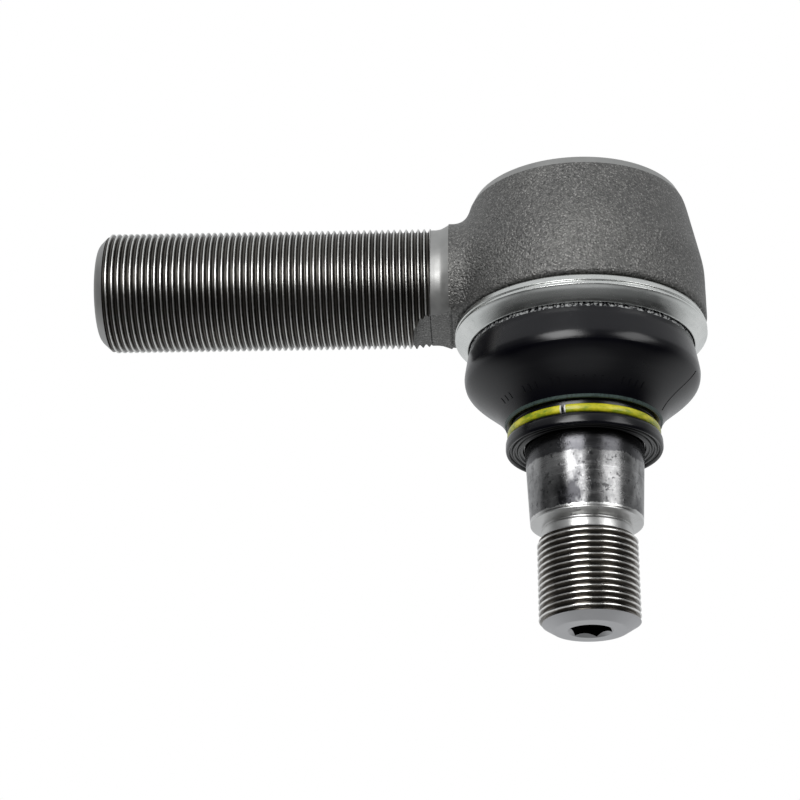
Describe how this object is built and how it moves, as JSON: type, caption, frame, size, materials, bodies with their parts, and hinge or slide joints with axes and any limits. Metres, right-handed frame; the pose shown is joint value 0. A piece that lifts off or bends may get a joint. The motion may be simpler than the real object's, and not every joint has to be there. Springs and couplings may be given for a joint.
{
  "type": "tie rod end",
  "caption": "Heavy-duty tie rod end: a threaded shank with a forged eye that holds a swivelling ball stud under a rubber boot.",
  "frame": {"origin": "centre of the closing cover's flat outer face, on the ball stud's axis at rest", "axes": "+Z out of the cover, away from the stud's threaded end; -X along the shank towards its end face; +Y completes the frame"},
  "size_m": [0.1504, 0.062, 0.1114],
  "materials": {
    "forged_steel": "shot-blasted forging, dark grey, oiled, with bright turned bevel and thread crests",
    "cover_steel": "pressed steel plate, lightly oiled",
    "seal_rubber": "black rubber",
    "seat_plastic": "natural white bearing plastic",
    "hard_steel": "plain hardened steel",
    "spring_steel": "phosphated spring steel",
    "zinc_plate": "satin zinc plating",
    "boot_rubber": "satin black rubber",
    "yellow_ring": "yellow plastic",
    "stud_steel": "turned and ground steel, dark phosphated cone"
  },
  "bodies": {
    "housing": {"housing": "forged_steel", "cover_plate": "cover_steel", "cover_seal_ring": "seal_rubber", "lower_ball_seat": "seat_plastic", "lower_disc_spring": "spring_steel", "upper_disc_spring": "spring_steel", "boot_retaining_ring": "zinc_plate"},
    "pressure_pad": {"upper_ball_seat": "seat_plastic", "spring_plate": "hard_steel"},
    "boot_middle": {"boot": "boot_rubber"},
    "boot_end": {"boot_clamp_ring": "yellow_ring", "lip_support_ring": "hard_steel"},
    "ball_stud": {"ball_stud": "stud_steel"}
  },
  "joints": [
    {"name": "stud_tilt_sideways", "type": "hinge", "parent": "housing", "child": "boot_middle", "pos_m": [0, 0, -0.0225], "axis": [1, 0, 0], "range_deg": [-18, 18], "deforming": ["boot"]},
    {"name": "stud_tilt_lengthwise", "type": "hinge", "parent": "boot_middle", "child": "boot_end", "pos_m": [0, 0, -0.0225], "axis": [0, 1, 0], "range_deg": [-18, 18], "deforming": ["boot"]},
    {"name": "stud_spin", "type": "hinge", "parent": "boot_end", "child": "ball_stud", "pos_m": [0, 0, -0.0225], "axis": [0, 0, 1], "continuous": true},
    {"name": "pad_lift", "type": "slide", "parent": "housing", "child": "pressure_pad", "axis": [0, 0, 1], "range_m": [0, 0.0004], "stiffness_N_per_m": 20000, "springref_m": -0.001, "deforming": ["lower_disc_spring", "upper_disc_spring"]}
  ]
}
